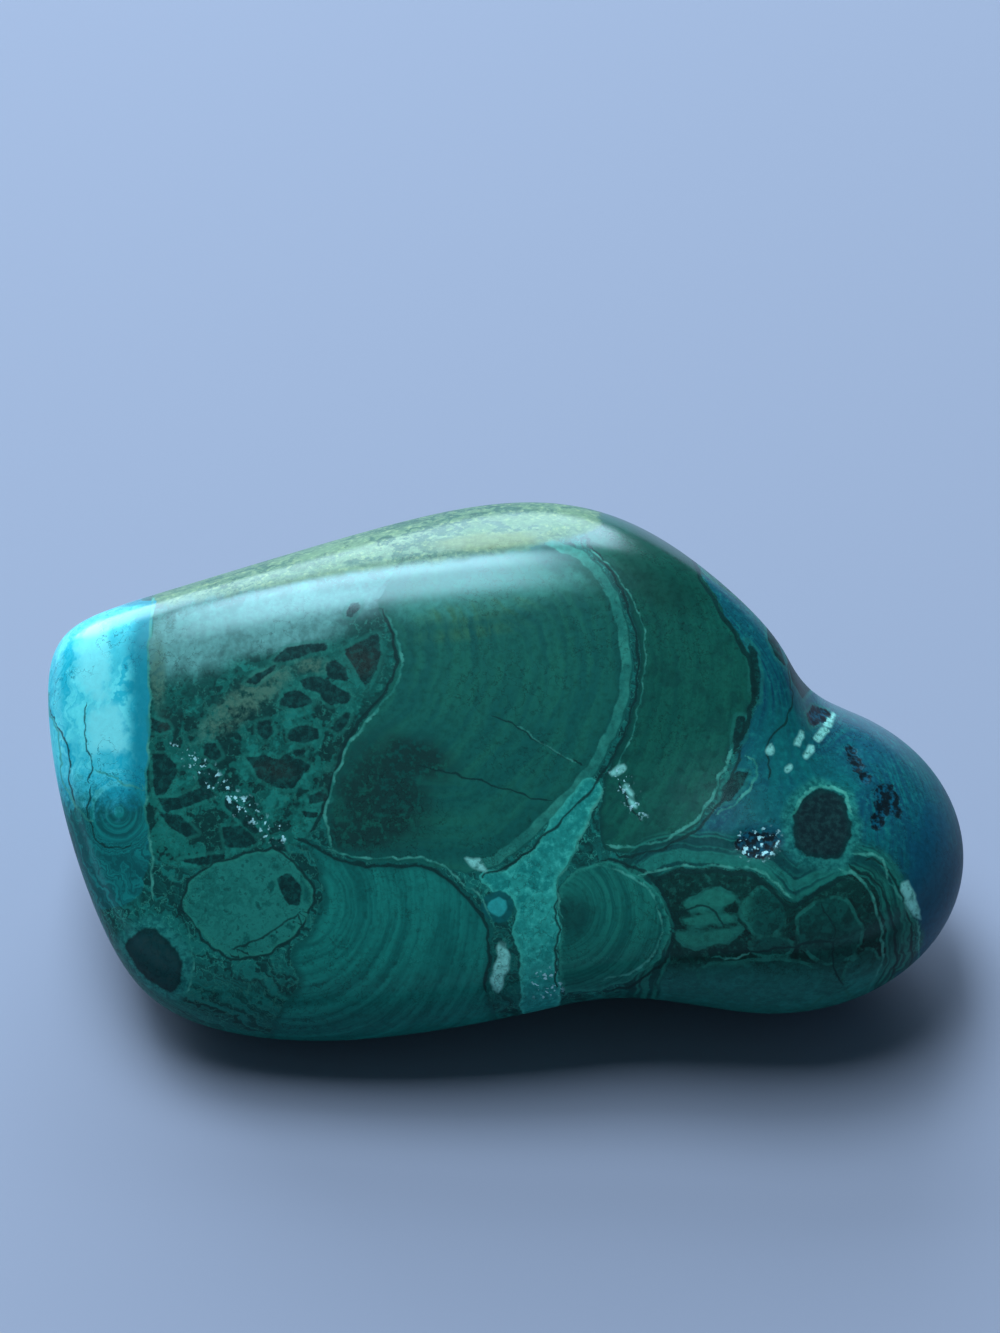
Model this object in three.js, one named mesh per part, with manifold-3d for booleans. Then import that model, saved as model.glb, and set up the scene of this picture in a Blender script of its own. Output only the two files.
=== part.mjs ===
// A tumbled and polished chrysocolla stone with malachite, lying on its flat underside.
// One natural piece: a blocky main body of softly rounded worn faces, and a lower rounded
// tail at its right end, run together by a shallow waist. Millimetres, +X along the stone,
// +Y away from the viewer, +Z up, with the origin under the middle of its box.
import * as THREE from "three";
import { mergeVertices } from "three/addons/utils/BufferGeometryUtils.js";
import Module from "manifold-3d";

// Driving dimensions.
const LENGTH = 46;
const EDGE_SOFTNESS = 1.1; // larger values round the edges between worn faces more
const RIDGE_SOFTNESS = 0.5; // the same, for the crisper ridge between front and top
const BULGE_HALF_WIDTH = 10; // a face's bulge is its rise over twice this width
const WAIST_BLEND = 3; // width of the smooth run between body and tail
const SURFACE_DIVISIONS = 19; // each icosahedron edge is cut into this many and one more

// The main body. Each worn face looks along a compass bearing (0 = +X, 90 = +Y) and a
// slope above the horizon, stands at its own distance from the body's centre, and
// bulges a little. The two crisp faces meet in the ridge along the top of the front.
const BODY_CENTRE = new THREE.Vector3(-4.5, 5.2, 9.5);
const WORN_FACES = [
  { name: "broad front", bearing: -95, slope: 48, distance: 7, bulge: 0.5, crisp: true },
  { name: "narrow top", bearing: 182, slope: 85, distance: 12, bulge: 0.4, crisp: true },
  { name: "back top edge", bearing: 116, slope: 45, distance: 13.7, bulge: -0.1 },
  { name: "back top corner", bearing: 73, slope: 47, distance: 17.6, bulge: 0.6 },
  { name: "back", bearing: 90, slope: 8, distance: 14, bulge: 0.6 },
  { name: "back underside", bearing: 90, slope: -40, distance: 13, bulge: 0.6 },
  { name: "right shoulder", bearing: 37, slope: 34, distance: 18.5, bulge: 0.3 },
  { name: "right end", bearing: -8, slope: -18, distance: 17.5, bulge: 0.6 },
  { name: "left end", bearing: 184, slope: -3, distance: 18.8, bulge: 0.6 },
  { name: "left underside", bearing: 197, slope: -18, distance: 17.4, bulge: 0.4 },
  { name: "front rim", bearing: -92, slope: 2, distance: 12.9, bulge: 0.5 },
  { name: "front underside", bearing: -72, slope: -47, distance: 12.2, bulge: 0.4 },
  { name: "front left corner", bearing: -112, slope: -43, distance: 15.6, bulge: 0.6 },
  { name: "underside", bearing: 0, slope: -90, distance: 9.8, bulge: 0.6 },
];

// The tail, an egg-shaped lobe.
const TAIL_CENTRE = new THREE.Vector3(13.5, 3.1, 7.2);
const TAIL_HALF_SIZE = new THREE.Vector3(10, 9.2, 6.9);

// Rays leave this point inside the stone to find its surface.
const HEART = new THREE.Vector3(0, 4.5, 8);
const RAY_STRETCH = 1.35; // crowds the rays towards the two ends, which are further away
const RAY_REACH = 40;
const BISECTIONS = 40;
const GROUND = 0.4; // height of the flat underside above the lowest point of the raw form

const STONE_GREEN = 0x14564f;
const POLISH_ROUGHNESS = 0.18;

function directionOf(bearing, slope) {
  const b = THREE.MathUtils.degToRad(bearing);
  const s = THREE.MathUtils.degToRad(slope);
  return new THREE.Vector3(
    Math.cos(b) * Math.cos(s),
    Math.sin(b) * Math.cos(s),
    Math.sin(s),
  );
}

// Height of a point above one worn face, in millimetres: negative inside.
function heightAbove(face, fromCentre) {
  const along = directionOf(face.bearing, face.slope).dot(fromCentre);
  const sideways = fromCentre.lengthSq() - along * along;
  return along - face.distance + (face.bulge * sideways) / BULGE_HALF_WIDTH ** 2;
}

// The largest of some heights, with the change from one to the next softened.
function softMaximum(heights, softness) {
  const highest = Math.max(...heights);
  const total = heights.reduce(
    (sum, height) => sum + Math.exp((height - highest) / softness),
    0,
  );
  return highest + softness * Math.log(total);
}

const crispFaces = WORN_FACES.filter((face) => face.crisp);
const softFaces = WORN_FACES.filter((face) => !face.crisp);

// The body is where a point is below every worn face.
function outsideBody(point) {
  const fromCentre = point.clone().sub(BODY_CENTRE);
  const above = (face) => heightAbove(face, fromCentre);
  const ridge = softMaximum(crispFaces.map(above), RIDGE_SOFTNESS);
  return softMaximum([ridge, ...softFaces.map(above)], EDGE_SOFTNESS);
}

function outsideTail(point) {
  const reach = point.clone().sub(TAIL_CENTRE).divide(TAIL_HALF_SIZE).length();
  return (reach - 1) * TAIL_HALF_SIZE.z;
}

// Smooth union of body and tail.
function outsideStone(point) {
  const body = outsideBody(point);
  const tail = outsideTail(point);
  const overlap = Math.max(WAIST_BLEND - Math.abs(body - tail), 0) / WAIST_BLEND;
  return Math.min(body, tail) - (overlap * overlap * WAIST_BLEND) / 4;
}

function surfaceAlong(direction) {
  let inside = 0;
  let outside = RAY_REACH;
  for (let i = 0; i < BISECTIONS; i++) {
    const middle = (inside + outside) / 2;
    const point = HEART.clone().addScaledVector(direction, middle);
    if (outsideStone(point) < 0) inside = middle;
    else outside = middle;
  }
  return HEART.clone().addScaledVector(direction, inside);
}

// The raw form: an even ball of directions, each carried out to the surface.
function rawForm() {
  const ball = new THREE.IcosahedronGeometry(1, SURFACE_DIVISIONS);
  ball.deleteAttribute("normal");
  ball.deleteAttribute("uv");
  const form = mergeVertices(ball, 1e-4);
  const position = form.getAttribute("position");
  for (let i = 0; i < position.count; i++) {
    const direction = new THREE.Vector3().fromBufferAttribute(position, i);
    direction.x *= RAY_STRETCH;
    const point = surfaceAlong(direction.normalize());
    position.setXYZ(i, point.x, point.y, point.z);
  }
  return form;
}

// The origin goes under the middle of the box, and the length becomes LENGTH.
function settle(form) {
  form.computeBoundingBox();
  const size = form.boundingBox.getSize(new THREE.Vector3());
  const middle = form.boundingBox.getCenter(new THREE.Vector3());
  form.translate(-middle.x, -middle.y, -form.boundingBox.min.z - GROUND);
  form.scale(LENGTH / size.x, LENGTH / size.x, LENGTH / size.x);
  return form;
}

const wasm = await Module();
wasm.setup();

function solidOf(geometry) {
  return new wasm.Manifold(
    new wasm.Mesh({
      numProp: 3,
      vertProperties: geometry.getAttribute("position").array,
      triVerts: new Uint32Array(geometry.index.array),
    }),
  );
}

function geometryOf(solid) {
  const mesh = solid.getMesh();
  const geometry = new THREE.BufferGeometry();
  geometry.setAttribute(
    "position",
    new THREE.BufferAttribute(mesh.vertProperties, 3),
  );
  geometry.setIndex(new THREE.BufferAttribute(mesh.triVerts, 1));
  geometry.computeVertexNormals();
  return geometry;
}

// Everything below the ground is ground off, which leaves the flat underside.
function groundFlat(form) {
  const block = new THREE.BoxGeometry(2 * LENGTH, 2 * LENGTH, LENGTH);
  block.translate(0, 0, -LENGTH / 2);
  block.deleteAttribute("normal");
  block.deleteAttribute("uv");
  return geometryOf(solidOf(form).subtract(solidOf(mergeVertices(block))));
}

const material = new THREE.MeshStandardMaterial({
  color: STONE_GREEN,
  roughness: POLISH_ROUGHNESS,
  metalness: 0,
});
const stone = new THREE.Mesh(groundFlat(settle(rawForm())), material);
stone.name = "stone";

const part = new THREE.Group();
part.add(stone);
export default part;
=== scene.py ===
"""Looks of a tumbled and polished chrysocolla stone with malachite, on its flat underside.

The markings of the side that the photograph shows are drawn as outlines, lines and
soft clouds in pixels of the photograph, and laid on the stone from the photograph's camera.
The other sides carry ball-shaped nodules of the same kinds, placed in millimetres.
"""

import logging
import math
from dataclasses import dataclass, field
from enum import Enum
from typing import Any, Optional, Sequence, Union

import bpy
import numpy as np
from mathutils import Matrix, Vector


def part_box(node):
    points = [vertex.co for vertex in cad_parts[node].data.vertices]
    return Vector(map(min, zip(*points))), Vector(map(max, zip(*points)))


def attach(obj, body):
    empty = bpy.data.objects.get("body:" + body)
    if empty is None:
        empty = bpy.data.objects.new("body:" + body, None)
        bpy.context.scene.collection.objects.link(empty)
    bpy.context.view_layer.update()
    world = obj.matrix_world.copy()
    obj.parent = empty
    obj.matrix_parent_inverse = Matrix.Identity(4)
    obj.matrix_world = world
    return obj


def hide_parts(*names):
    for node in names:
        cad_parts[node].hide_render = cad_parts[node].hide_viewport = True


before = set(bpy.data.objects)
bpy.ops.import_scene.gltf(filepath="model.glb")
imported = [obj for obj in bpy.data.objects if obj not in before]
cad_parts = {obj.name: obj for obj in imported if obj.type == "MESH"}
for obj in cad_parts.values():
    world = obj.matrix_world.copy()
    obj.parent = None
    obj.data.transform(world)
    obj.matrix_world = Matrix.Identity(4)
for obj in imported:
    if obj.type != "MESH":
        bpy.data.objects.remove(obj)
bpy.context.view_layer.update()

MM = 0.001
LOG = logging.getLogger("polished_stone")
Pixel = tuple[float, float]
Colour = tuple[float, float, float]


class Zone(Enum):
    """Closed areas of the shown side. The value names the attribute with the distance to the edge."""

    CAP = "cap"
    BRECCIA = "breccia"
    NODULE = "nodule"
    BAND = "band"
    TAIL = "tail"
    TOP = "top"
    VEIN = "vein"
    LOWER = "lower"
    SMALL = "small"
    DISC = "disc"
    CORNER = "corner"
    EYE = "eye"
    OVAL = "oval"


class Group(Enum):
    """Sets of small closed shapes. Each set shares one mesh attribute."""

    SHARD = "shard"
    GLOW = "glow"
    CHIP = "chip"
    DRUSY = "drusy"
    PIT = "pit"
    BEAD = "bead"
    LEAF = "leaf"


class Line(Enum):
    """Families of open lines. Each has a distance, a nearness and a width attribute."""

    DARK = "dark"
    PALE = "pale"


class Cloud(Enum):
    """Soft-edged tints."""

    BROWN = "brown"
    GOLDEN = "golden"
    TAN = "tan"
    CREAM = "cream"
    GREY = "ridge_sheen"
    MINT = "mint"
    DEEP = "deep"
    DIM = "dim"
    TEAL = "teal"


class Reverse(Enum):
    """Attributes of the sides that the photograph doesn't show."""

    FACING = "facing"
    DEPTH = "ball_depth"
    SEAM = "ball_seam"
    TONE = "ball_tone"


FLOW = "flow"
NEAR = "_near"
WIDTH = "_width"
LENGTH_AXIS = (1.0, 0.0, 0.0)
UP_AXIS = (0.0, 0.0, 1.0)
CURVE_STEPS = 6
TONE_STEP = 0.618

ZONES: dict[Zone, Sequence[Pixel]] = {
    Zone.CAP: (
        (156, 560), (153, 616), (148, 655), (150, 700), (149, 740), (146, 790), (146, 822),
        (150, 850), (143, 885), (125, 905), (95, 905), (40, 860), (10, 720), (20, 600), (90, 560),
    ),
    Zone.BRECCIA: (
        (150, 560), (153, 616), (148, 655), (150, 730), (146, 820), (152, 852), (175, 868),
        (205, 868), (235, 855), (277, 848), (306, 838), (325, 815), (331, 790), (342, 760),
        (360, 724), (385, 697), (397, 665), (394, 632), (378, 603), (395, 570), (400, 500),
        (300, 520), (200, 555),
    ),
    Zone.NODULE: (
        (378, 603), (394, 632), (397, 665), (385, 697), (360, 724), (342, 760), (331, 790),
        (326, 818), (332, 845), (360, 860), (400, 862), (440, 868), (480, 871), (512, 855),
        (541, 830), (566, 806), (591, 779), (609, 750), (625, 712), (632, 670), (628, 628),
        (614, 587), (592, 557), (566, 543), (540, 530), (500, 490), (400, 500), (395, 570),
    ),
    Zone.BAND: (
        (590, 490), (586, 541), (620, 585), (636, 626), (640, 670), (632, 715), (616, 752),
        (606, 775), (601, 800), (600, 830), (606, 850), (625, 853), (657, 847), (690, 830),
        (713, 801), (724, 771), (733, 741), (748, 715), (757, 688), (750, 655), (730, 620),
        (708, 585), (690, 552), (660, 490),
    ),
    Zone.TAIL: (
        (690, 500), (700, 565), (725, 620), (752, 665), (757, 700), (745, 735), (735, 765),
        (722, 800), (690, 835), (640, 854), (640, 872), (690, 862), (742, 866), (770, 872),
        (792, 895), (830, 880), (860, 866), (890, 880), (915, 915), (925, 960), (905, 1020),
        (1020, 1000), (1020, 800), (960, 690), (830, 630), (770, 560),
    ),
    Zone.TOP: (
        (150, 592), (162, 604), (230, 594), (300, 582), (360, 572), (415, 564), (470, 557),
        (525, 548), (556, 540), (585, 533), (600, 518), (590, 480), (470, 460), (400, 480),
        (300, 515), (200, 550), (150, 575),
    ),
    Zone.VEIN: (
        (602, 788), (590, 817), (577, 846), (564, 867), (556, 888), (559, 914), (561, 935),
        (557, 958), (560, 985), (555, 1020), (525, 1020), (520, 985), (519, 955), (512, 932),
        (518, 912), (508, 897), (488, 889), (481, 874), (510, 865), (533, 849), (556, 812),
        (588, 778),
    ),
    Zone.LOWER: (
        (306, 840), (325, 851), (352, 862), (398, 864), (430, 866), (459, 886), (478, 906),
        (490, 927), (493, 957), (488, 988), (490, 1040), (400, 1080), (280, 1070), (270, 1035),
        (285, 1005), (300, 980), (290, 955), (310, 930), (322, 900), (318, 868),
    ),
    Zone.SMALL: (
        (186, 912), (205, 938), (226, 955), (252, 957), (277, 949), (297, 932), (311, 907),
        (312, 885), (298, 866), (277, 850), (250, 853), (222, 862), (200, 872), (185, 890),
    ),
    Zone.DISC: (
        (562, 885), (580, 870), (603, 862), (637, 874), (661, 898), (670, 927), (661, 956),
        (637, 977), (608, 987), (575, 992), (562, 985), (558, 960), (562, 930), (558, 905),
    ),
    Zone.CORNER: (
        (655, 880), (682, 868), (740, 870), (763, 876), (785, 899), (800, 900), (830, 882),
        (858, 874), (872, 885), (882, 910), (886, 940), (884, 968), (870, 992), (850, 1030),
        (760, 1050), (690, 1040), (660, 1005), (668, 960), (674, 930), (668, 905),
    ),
    Zone.EYE: (
        (822, 788), (842, 797), (850, 820), (850, 843), (839, 857), (822, 859), (806, 856),
        (795, 842), (793, 820), (803, 798),
    ),
    Zone.OVAL: (
        (126, 943), (146, 928), (168, 939), (181, 962), (181, 982), (170, 991), (150, 981), (133, 962),
    ),
}

GROUPS: dict[Group, Sequence[Sequence[Pixel]]] = {
    Group.SHARD: (
        ((344, 651), (357, 645), (377, 634), (381, 655), (376, 671), (367, 687), (352, 666)),
        ((324, 663), (335, 660), (345, 668), (350, 683), (338, 679), (328, 676)),
        ((279, 704), (284, 692), (297, 689), (309, 697), (314, 706), (297, 709)),
        ((301, 679), (318, 676), (334, 684), (352, 696), (349, 703), (331, 704), (317, 694), (304, 690)),
        ((271, 661), (286, 650), (306, 644), (330, 643), (328, 650), (309, 653), (292, 661)),
        ((245, 684), (256, 673), (274, 665), (276, 671), (256, 685)),
        ((244, 757), (263, 753), (278, 760), (288, 755), (311, 768), (291, 790), (277, 789), (261, 777)),
        ((346, 617), (350, 606), (360, 600), (361, 606), (354, 618)),
        ((150, 720), (166, 722), (171, 729), (160, 733), (150, 731)),
        ((152, 757), (165, 754), (174, 764), (176, 779), (164, 793), (153, 796)),
        ((157, 800), (176, 797), (206, 786), (213, 797), (190, 806), (166, 812)),
        ((160, 812), (181, 816), (196, 833), (186, 836), (168, 826)),
        ((204, 742), (216, 745), (222, 756), (213, 762), (203, 753)),
        ((288, 730), (300, 724), (317, 729), (319, 741), (303, 744), (291, 740)),
        ((292, 748), (306, 750), (304, 756), (294, 755)),
        ((258, 722), (270, 719), (274, 733), (265, 740), (258, 733)),
        ((224, 797), (236, 800), (250, 816), (260, 832), (252, 835), (238, 820), (225, 806)),
        ((196, 772), (208, 768), (222, 776), (214, 787), (200, 784)),
        ((308, 796), (322, 792), (329, 799), (319, 804), (309, 803)),
        ((304, 811), (320, 812), (317, 819), (306, 818)),
        ((222, 829), (241, 826), (258, 841), (246, 851), (228, 846)),
        ((176, 861), (200, 856), (226, 852), (222, 860), (200, 865)),
        ((268, 838), (282, 840), (286, 852), (274, 851)),
        ((330, 727), (341, 717), (352, 712), (350, 720), (338, 733)),
        ((277, 878), (290, 872), (302, 885), (300, 904), (288, 906), (280, 893)),
        ((723, 785), (737, 772), (748, 774), (744, 788), (730, 800), (720, 802)),
        ((748, 640), (758, 650), (762, 676), (758, 700), (750, 690), (752, 668)),
        ((738, 715), (746, 718), (744, 738), (734, 750), (732, 735)),
        ((764, 610), (772, 622), (780, 645), (786, 668), (776, 660), (768, 640)),
        ((784, 648), (797, 662), (812, 688), (802, 698), (792, 680)),
        ((806, 716), (814, 706), (828, 708), (822, 722), (810, 726)),
    ),
    # Painted reflections: bright patches where the blue cap would mirror the light.
    Group.GLOW: (
        ((74, 650), (88, 624), (104, 620), (112, 650), (108, 700), (90, 702), (78, 684)),
        ((90, 708), (110, 703), (126, 712), (129, 748), (118, 758), (104, 752), (92, 757), (86, 732)),
    ),
    Group.CHIP: (
        ((501, 938), (508, 950), (508, 970), (502, 987), (493, 992), (492, 976), (497, 955)),
        ((804, 757), (809, 746), (816, 750), (809, 758)),
        ((795, 740), (800, 730), (804, 737), (800, 746)),
        ((814, 739), (822, 727), (827, 730), (819, 742)),
        ((823, 722), (831, 712), (836, 716), (829, 726)),
        ((767, 751), (772, 744), (775, 750), (770, 756)),
        ((784, 768), (789, 762), (791, 767), (787, 771)),
        ((900, 884), (908, 882), (916, 900), (922, 918), (914, 916), (905, 902)),
        ((611, 773), (620, 764), (625, 768), (617, 778)),
        ((464, 857), (478, 860), (486, 871), (474, 869)),
        ((624, 787), (628, 783), (632, 795), (638, 810), (633, 807), (627, 796)),
    ),
    Group.DRUSY: (
        ((170, 745), (205, 760), (235, 790), (265, 812), (290, 838), (275, 845), (245, 820), (210, 790)),
        ((733, 838), (752, 828), (770, 828), (782, 840), (775, 854), (755, 860), (738, 854)),
        ((538, 970), (556, 970), (559, 996), (534, 996)),
        ((612, 772), (626, 769), (632, 788), (646, 812), (636, 815), (622, 795)),
    ),
    Group.PIT: (
        ((735, 840), (752, 832), (770, 832), (780, 842), (773, 853), (755, 858), (740, 853)),
        ((810, 712), (820, 707), (831, 712), (824, 722), (812, 722)),
        ((846, 748), (856, 747), (862, 765), (852, 768)),
        ((859, 774), (868, 773), (871, 781), (862, 782)),
        ((874, 790), (890, 785), (900, 800), (901, 818), (890, 812), (880, 829), (872, 825), (877, 808)),
    ),
    Group.LEAF: (
        ((683, 905), (700, 892), (722, 889), (735, 898), (722, 908), (700, 912)),
        ((680, 921), (700, 915), (728, 913), (738, 919), (715, 925), (690, 926)),
        ((676, 933), (705, 932), (737, 926), (740, 933), (724, 943), (700, 948), (683, 945)),
        ((742, 905), (762, 886), (784, 906), (780, 930), (757, 936), (744, 922)),
        ((798, 918), (824, 898), (850, 904), (862, 935), (846, 962), (814, 960), (800, 940)),
        ((700, 968), (740, 961), (800, 962), (826, 984), (806, 1010), (750, 1012), (712, 996)),
        ((846, 968), (870, 948), (881, 972), (864, 1000), (846, 992)),
        ((750, 942), (775, 936), (794, 944), (785, 956), (758, 955)),
    ),
    Group.BEAD: (((488, 900), (500, 897), (508, 905), (503, 914), (491, 912)),),
}

LINES: dict[Line, Sequence[tuple[float, Sequence[Pixel]]]] = {
    Line.DARK: (
        (0.22, ((384, 612), (395, 645), (394, 675), (380, 699), (362, 717), (350, 737), (338, 762),
                (329, 790), (322, 812), (312, 830))),
        (0.12, ((52, 712), (58, 730), (68, 745), (70, 784), (77, 812))),
        (0.10, ((86, 706), (85, 735), (92, 765), (90, 780))),
        (0.16, ((588, 541), (618, 583), (634, 626), (638, 670), (631, 714), (615, 753), (596, 784),
                (571, 811), (546, 835), (517, 860), (483, 876))),
        (0.10, ((420, 765), (445, 772), (480, 781), (515, 792), (548, 802))),
        (0.10, ((497, 716), (515, 726), (540, 742), (565, 757), (580, 765))),
        (0.30, ((692, 560), (711, 597), (738, 640), (753, 676), (752, 705), (744, 733), (735, 750))),
        (0.18, ((742, 748), (728, 787), (712, 814), (690, 834), (657, 851), (620, 857))),
        (0.22, ((300, 838), (325, 852), (352, 864), (398, 866), (430, 868), (457, 888), (476, 908),
                (487, 929), (489, 957), (484, 990))),
        (0.16, ((277, 850), (297, 866), (312, 886), (312, 907), (297, 933), (276, 950), (250, 958),
                (226, 957), (205, 941), (190, 920), (178, 908))),
        (0.10, ((301, 913), (278, 927), (258, 940), (235, 948))),
        (0.14, ((180, 915), (184, 892), (199, 871), (222, 861), (250, 853), (274, 848))),
        (0.14, ((558, 890), (556, 914), (559, 932), (555, 958), (557, 985))),
        (0.20, ((603, 858), (640, 870), (664, 895), (674, 927), (664, 960), (638, 982), (606, 992))),
        (0.25, ((655, 880), (685, 872), (738, 874), (760, 880), (783, 903), (800, 904), (826, 886),
                (845, 880))),
        (0.20, ((850, 868), (872, 878), (888, 905), (895, 935), (895, 965), (882, 993), (862, 1015))),
        (0.15, ((868, 858), (890, 872), (903, 900), (911, 930), (910, 965), (895, 1000))),
        (0.15, ((713, 950), (750, 952), (790, 947), (830, 940))),
        (0.12, ((672, 928), (680, 915), (700, 905), (715, 912), (722, 925))),
        (0.10, ((822, 905), (835, 930), (832, 960), (842, 985))),
        (0.12, ((620, 785), (628, 803), (640, 818))),
        (0.12, ((788, 668), (792, 690), (789, 715), (768, 745), (770, 775))),
        (0.10, ((90, 790), (88, 815), (96, 838), (112, 848), (130, 846))),
    ),
    Line.PALE: (
        (0.15, ((153, 600), (148, 655), (150, 700), (149, 740), (146, 790), (147, 822), (152, 855),
                (152, 897))),
        (0.16, ((388, 612), (401, 652), (397, 684), (376, 711), (356, 735), (342, 760), (332, 787),
                (325, 815), (331, 842))),
        (0.08, ((520, 727), (545, 745), (572, 760))),
        (0.07, ((592, 549), (616, 574), (632, 599), (643, 626), (645, 667), (638, 711), (627, 747),
                (612, 774))),
        (0.16, ((612, 848), (657, 842), (690, 825), (711, 800), (721, 775), (731, 752))),
        (0.14, ((719, 812), (738, 802), (752, 786), (757, 768), (748, 758))),
        (0.12, ((602, 790), (589, 819), (577, 847), (565, 868), (557, 888), (561, 914))),
        (0.12, ((600, 864), (634, 878), (655, 900), (662, 927), (655, 952), (634, 971), (606, 980))),
        (0.12, ((645, 874), (682, 866), (740, 868), (765, 873), (788, 897))),
        (0.16, ((842, 873), (859, 876), (873, 900), (881, 930), (882, 960), (870, 988), (853, 1008))),
        (0.14, ((853, 853), (878, 858), (893, 886), (906, 908), (918, 930), (918, 957), (905, 985))),
        (0.10, ((713, 957), (730, 958), (746, 956))),
        (0.20, ((795, 812), (803, 796), (822, 786), (842, 793), (851, 812))),
        (0.16, ((47, 690), (51, 716), (60, 742), (61, 772), (72, 800), (90, 822))),
        (0.12, ((98, 770), (112, 776), (124, 784), (138, 786))),
        (0.10, ((330, 848), (352, 857), (398, 858), (432, 861), (462, 881), (484, 903), (495, 927))),
        (0.12, ((188, 928), (192, 950), (193, 972), (188, 990), (176, 998))),
    ),
}

FLOW_LINE: Sequence[Pixel] = (
    (104, 570), (74, 640), (62, 710), (70, 780), (88, 835), (110, 880), (140, 915), (175, 940),
    (210, 965), (250, 990), (300, 1030),
)


@dataclass(frozen=True)
class Tint:
    """One soft cloud in the photograph.

    Attributes:
        middle: Its middle, in pixels.
        half_size: Its half length and half width, in pixels.
        turn_deg: The turn of its length from the picture's x axis, clockwise.
        strength: Its greatest weight.
    """

    middle: Pixel
    half_size: Pixel
    turn_deg: float = 0.0
    strength: float = 1.0


CLOUDS: dict[Cloud, Sequence[Tint]] = {
    Cloud.BROWN: (
        Tint((380, 795), (58, 62)),
        Tint((410, 760), (48, 26), 10),
        Tint((350, 835), (40, 20)),
        Tint((362, 660), (24, 20), 0, 0.8),
        Tint((276, 770), (32, 18), 0, 0.5),
        Tint((165, 720), (9, 24), 0, 0.6),
    ),
    Cloud.GOLDEN: (Tint((480, 610), (60, 12), -8), Tint((470, 632), (70, 10), -8, 0.6)),
    Cloud.TAN: (
        Tint((244, 702), (60, 17), -38),
        Tint((312, 666), (26, 10), 0, 0.8),
        Tint((158, 672), (9, 42), 0, 0.8),
    ),
    Cloud.CREAM: (Tint((488, 541), (62, 9), -5), Tint((300, 580), (90, 9), -10, 0.35)),
    # Painted highlight: a pale tint along and under the ridge, where the polish mirrors the overhead
    # light.
    Cloud.GREY: (
        Tint((292, 612), (120, 20), -9),
        Tint((190, 640), (56, 36), -15),
        Tint((275, 636), (80, 20), -10, 0.8),
    ),
    # Painted sheen: a paler band on the big nodule just under the ridge, where the polish mirrors the
    # overhead light.
    Cloud.MINT: (Tint((480, 594), (110, 22), -9),),
    Cloud.DEEP: (Tint((935, 880), (32, 90)), Tint((870, 740), (50, 30), 30, 0.5)),
    # Painted shade on the shoulder of the second nodule.
    Cloud.DIM: (Tint((665, 568), (62, 42), 35),),
    Cloud.TEAL: (
        Tint((785, 745), (30, 55), 15),
        Tint((775, 805), (40, 24)),
        Tint((818, 775), (50, 22), 10),
    ),
}


@dataclass(frozen=True)
class Ball:
    """A nodule of the sides that the photograph doesn't show, in millimetres."""

    centre: tuple[float, float, float]
    radius: float


BALLS: Sequence[Ball] = (
    Ball((-9.0, 13.5, 11.5), 6.6),
    Ball((3.5, 13.0, 13.5), 5.4),
    Ball((-1.5, 12.0, 3.5), 4.8),
    Ball((11.0, 10.5, 8.0), 4.6),
    Ball((-15.0, 10.5, 3.5), 4.2),
    Ball((-16.0, 10.0, 17.0), 3.4),
    Ball((-6.0, 0.5, -1.5), 6.4),
    Ball((5.0, -4.5, 0.5), 4.6),
    Ball((-13.5, -4.5, 1.0), 4.0),
    Ball((2.5, 5.0, -0.5), 4.2),
    Ball((12.5, 0.5, 0.0), 5.0),
    Ball((19.0, 6.0, 5.0), 3.6),
    Ball((21.5, -1.5, 3.5), 3.0),
    Ball((-12.0, 7.0, 0.0), 3.2),
)


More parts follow.
